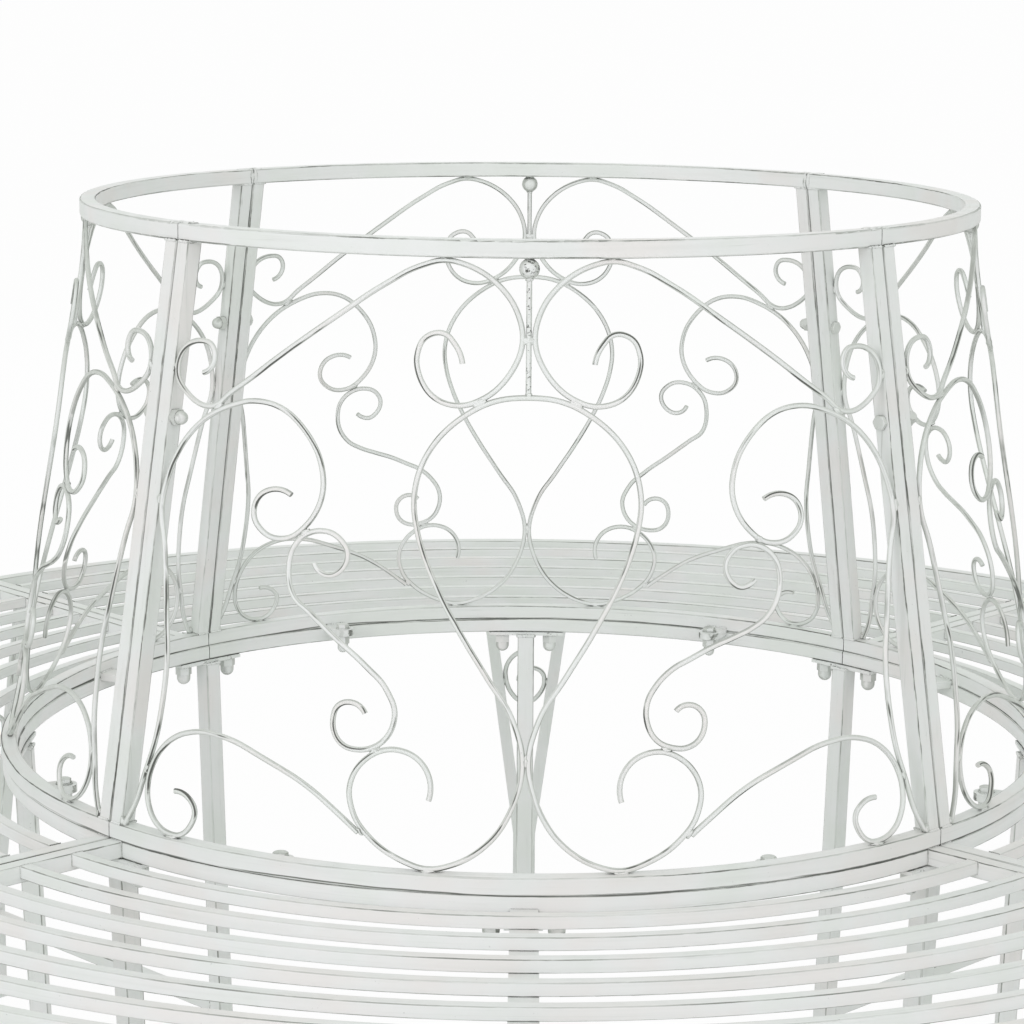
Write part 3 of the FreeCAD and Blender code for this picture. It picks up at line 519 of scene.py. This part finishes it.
def scroll_beads(mesh, section):
    """Beads where a back section's wires meet each other, its rails and its posts."""
    spots = SINGLE_WELDS + [(side * across, rise, width, length, side * tilt)
                            for across, rise, width, length, tilt in PAIRED_WELDS for side in (1, -1)]
    for across, rise, width, length, tilt in spots:
        place = on_back(across, rise, section)
        outward = Vector((place.x, place.y, 0)).normalized()
        tilt = math.radians(tilt)
        along = UP.cross(outward) * math.cos(tilt) + UP * math.sin(tilt)
        weld_bead(mesh, place, along, outward, (length / 1000, width / 1000, SCROLL_BEAD_DEPTH),
                  across + rise + section)


def ball_beads(mesh, section):
    """Beads above and below the ball under a top rail."""
    ball_top = BACK_TOP - TUBE
    for level, size in ((ball_top, BALL_BEAD), (ball_top - BALL, STEM_BEAD)):
        place = at(section, cone_radius(level), 0, level)
        weld_bead(mesh, place, at(section, 0, 1, 0), UP, (size, size, BALL_BEAD_FLATNESS * size),
                  level + section)


def leg_scroll_beads(mesh, leg):
    """Beads where an outer leg's scroll meets its two arms."""
    low, high = ARM_GAP / 2 + ARM / 2, ARM_SPREAD / 2
    level = ARM_TOP + PLATE - LEG_BEAD_DROP
    inside = high - (ARM_TOP - level) * (high - low) / (ARM_TOP - ARM_BEND) - ARM / 2
    for side in (1, -1):
        weld_bead(mesh, at(leg, RIM_MIDDLE, side * inside, level), UP, at(leg, 1, 0, 0), LEG_BEAD, leg + side)


def frame_seam(mesh, angle, corners, radius=PLATE_SEAM, closed=True):
    """A seam whose corners are given in the frame of a section, joint or leg."""
    places = [at(angle, *corner) for corner in corners]
    weld_seam(mesh, places, radius, closed, angle * 5 + corners[0][0] * 90)


def level_loop(mesh, angle, x, y, z, half_x, half_y):
    """A seam round a bar's end on a plate."""
    frame_seam(mesh, angle, [(x - half_x, y - half_y, z), (x + half_x, y - half_y, z),
                             (x + half_x, y + half_y, z), (x - half_x, y + half_y, z)])


def leg_seams(mesh, leg):
    """Seams at a pair of legs' plates and feet, and at both ends of the stretcher between them."""
    leg_radius = SEAT_INNER - TUBE / 2 - LEG_INSET
    level_loop(mesh, leg, leg_radius, 0, LEG_TOP, LEG / 2, LEG / 2)
    level_loop(mesh, leg, leg_radius - LEG_LEAN, 0, FOOT_PLATE, LEG / 2, LEG / 2)
    level_loop(mesh, leg, RIM_MIDDLE, 0, FOOT_PLATE, ARM / 2, ARM_GAP / 2 + ARM)
    for side in (1, -1):
        level_loop(mesh, leg, RIM_MIDDLE, side * ARM_SPREAD / 2, ARM_TOP, ARM / 2, ARM / 2)
    half = STRETCHER / 2
    middle = STRETCHER_HEIGHT + half
    drop = LEG_TOP - STRETCHER_HEIGHT - half
    leg_face = leg_radius + LEG / 2 - drop * LEG_LEAN / (LEG_TOP - FOOT_PLATE)
    for x in (leg_face, RIM_MIDDLE - ARM / 2):
        frame_seam(mesh, leg, [(x, -half, middle - half), (x, half, middle - half),
                               (x, half, middle + half), (x, -half, middle + half)])


def top_joint_beads(mesh, joint, side):
    """Beads on top of and inside a joint of the top rails."""
    level = BACK_TOP - TUBE / 2
    middle = cone_radius(level)
    weld_bead(mesh, at(joint, middle, side * TOP_BEAD_SIDE, BACK_TOP - TOP_BEAD_DROP), at(joint, 0, 1, 0), UP,
              TOP_BEAD, joint * 3 + side)
    weld_bead(mesh, at(joint, middle - TUBE / 2 + INSIDE_BEAD_DEPTH, side * INSIDE_BEAD_SIDE, level), UP,
              at(joint, -1, 0, 0), INSIDE_BEAD, joint * 5 + side)


def joint_seams(mesh, joint, side):
    """Seams on one side of a joint: at the post's ends, the end bar's ends and the slats' ends."""
    inner, outer = side * JOINT_GAP, side * FAR_SIDE
    for level in (SEAT_HEIGHT + TUBE, BACK_TOP - TUBE):
        middle, half = cone_radius(level), TUBE / 2 * math.sqrt(1 + CONE_SLOPE ** 2)
        frame_seam(mesh, joint, [(middle - half, inner, level), (middle - half, outer, level),
                                 (middle + half, outer, level), (middle + half, inner, level)],
                   POST_SEAM, False)
    for x, top in ((SEAT_INNER, SEAT_HEIGHT), (SEAT_OUTER - TUBE, SEAT_HEIGHT + SEAT_RISE)):
        frame_seam(mesh, joint, [(x, outer, top - TUBE), (x, outer, top), (x, inner, top)], BAR_SEAM, False)
    for number in range(1, SLAT_COUNT + 1):
        far = SEAT_INNER + number * (SEAT_OUTER - SEAT_INNER) / (SLAT_COUNT + 1)
        top = SEAT_HEIGHT + (far - SLAT / 2 - SEAT_INNER) * SEAT_SLOPE
        ends = [math.sqrt(radius ** 2 - FAR_SIDE ** 2) for radius in (far - SLAT, far)]
        frame_seam(mesh, joint, [(ends[0], outer, top - SLAT), (ends[0], outer, top),
                                 (ends[1], outer, top), (ends[1], outer, top - SLAT)], SLAT_SEAM, False)


def lug_seams(mesh, section, side):
    """Seams where a seat lug and a back lug leave their rails."""
    half = LUG_WIDTH / 2
    for x, level in ((SEAT_INNER - TUBE, SEAT_HEIGHT - PLATE), (FOOT_RADIUS - TUBE, SEAT_HEIGHT + PLATE)):
        frame_seam(mesh, section + side * LUG_ANGLE,
                   [(x - LUG_SEAM_BOW, -half, level), (x, 0, level), (x - LUG_SEAM_BOW, half, level)],
                   LUG_SEAM, False)


mesh = bmesh.new()
for section in SECTIONS:
    scroll_beads(mesh, section)
    ball_beads(mesh, section)
for leg in LEGS:
    leg_scroll_beads(mesh, leg)
weld_object("scroll_welds", WIRE, mesh)

mesh = bmesh.new()
for leg in LEGS:
    leg_seams(mesh, leg)
for joint in JOINTS:
    for side in (1, -1):
        top_joint_beads(mesh, joint, side)
        joint_seams(mesh, joint, side)
for section in SECTIONS:
    for side in (1, -1):
        lug_seams(mesh, section, side)
weld_object("frame_welds", RADIAL, mesh)


# Floor and light.

WHITE = (1, 1, 1, 1)
FLOOR_SIZE, FLOOR_DROP = 300, 0.0005
FLOOR_COLOUR, FLOOR_SEEN_WHITE = (0.8, 0.8, 0.8, 1), 0.965
WORLD_COLOUR, WORLD_STRENGTH = (0.97, 1.0, 0.96, 1), 0.735
LAMP_COLOUR = (1.0, 0.94, 1.02)
LAMP_AIM = Vector((0, 0, 0.6))
LAMPS = {"front_left": ((-3.4, -4.0, 2.6), 3.0, 67), "front_right": ((3.4, -4.0, 2.6), 3.0, 38),
         "front": ((0, -5.5, 2.0), 3.5, 21), "back": ((0, 5.0, 3.0), 3.5, 26)}


def floor_material():
    """Pale and plain; the camera sees it nearly white and the object's shadow stays on it."""
    tree = Tree("floor_white")
    tree.put(tree.shader.inputs["Base Color"], FLOOR_COLOUR)
    tree.put(tree.shader.inputs["Roughness"], 0.9)
    tree.put(tree.shader.inputs["Specular IOR Level"], 0.0)
    glow = tree.add("ShaderNodeEmission", {"Color": WHITE, "Strength": 1.0})
    path = tree.add("ShaderNodeLightPath")
    direct = tree.most(path.outputs["Is Camera Ray"], path.outputs["Is Glossy Ray"],
                       path.outputs["Is Transmission Ray"])
    blend = tree.add("ShaderNodeMixShader", {0: tree.times(direct, FLOOR_SEEN_WHITE),
                                             1: tree.shader.outputs[0], 2: glow.outputs[0]})
    tree.put(tree.output.inputs["Surface"], blend.outputs[0])
    return tree.material


bpy.ops.mesh.primitive_plane_add(size=FLOOR_SIZE, location=(0, 0, -FLOOR_DROP))
floor = bpy.context.object
floor.name = "floor"
floor.data.materials.append(floor_material())

world = bpy.data.worlds.new("studio")
bpy.context.scene.world = world
world.use_nodes = True
world_nodes, world_links = world.node_tree.nodes, world.node_tree.links
light = world_nodes["Background"]
light.inputs["Color"].default_value = WORLD_COLOUR
light.inputs["Strength"].default_value = WORLD_STRENGTH
plain = world_nodes.new("ShaderNodeBackground")
plain.inputs["Color"].default_value = WHITE
plain.inputs["Strength"].default_value = 1.0
path = world_nodes.new("ShaderNodeLightPath")
choose = world_nodes.new("ShaderNodeMixShader")
world_links.new(path.outputs["Is Camera Ray"], choose.inputs[0])
world_links.new(light.outputs[0], choose.inputs[1])
world_links.new(plain.outputs[0], choose.inputs[2])
world_links.new(choose.outputs[0], world_nodes["World Output"].inputs["Surface"])

for name, (place, diameter, power) in LAMPS.items():
    lamp = bpy.data.objects.new(name, bpy.data.lights.new(name, "AREA"))
    bpy.context.collection.objects.link(lamp)
    lamp.data.shape = "DISK"
    lamp.data.size = diameter
    lamp.data.energy = power
    lamp.data.color = LAMP_COLOUR
    lamp.location = place
    lamp.rotation_euler = (LAMP_AIM - Vector(place)).to_track_quat("-Z", "Y").to_euler()

bpy.context.scene.view_settings.view_transform = "Standard"
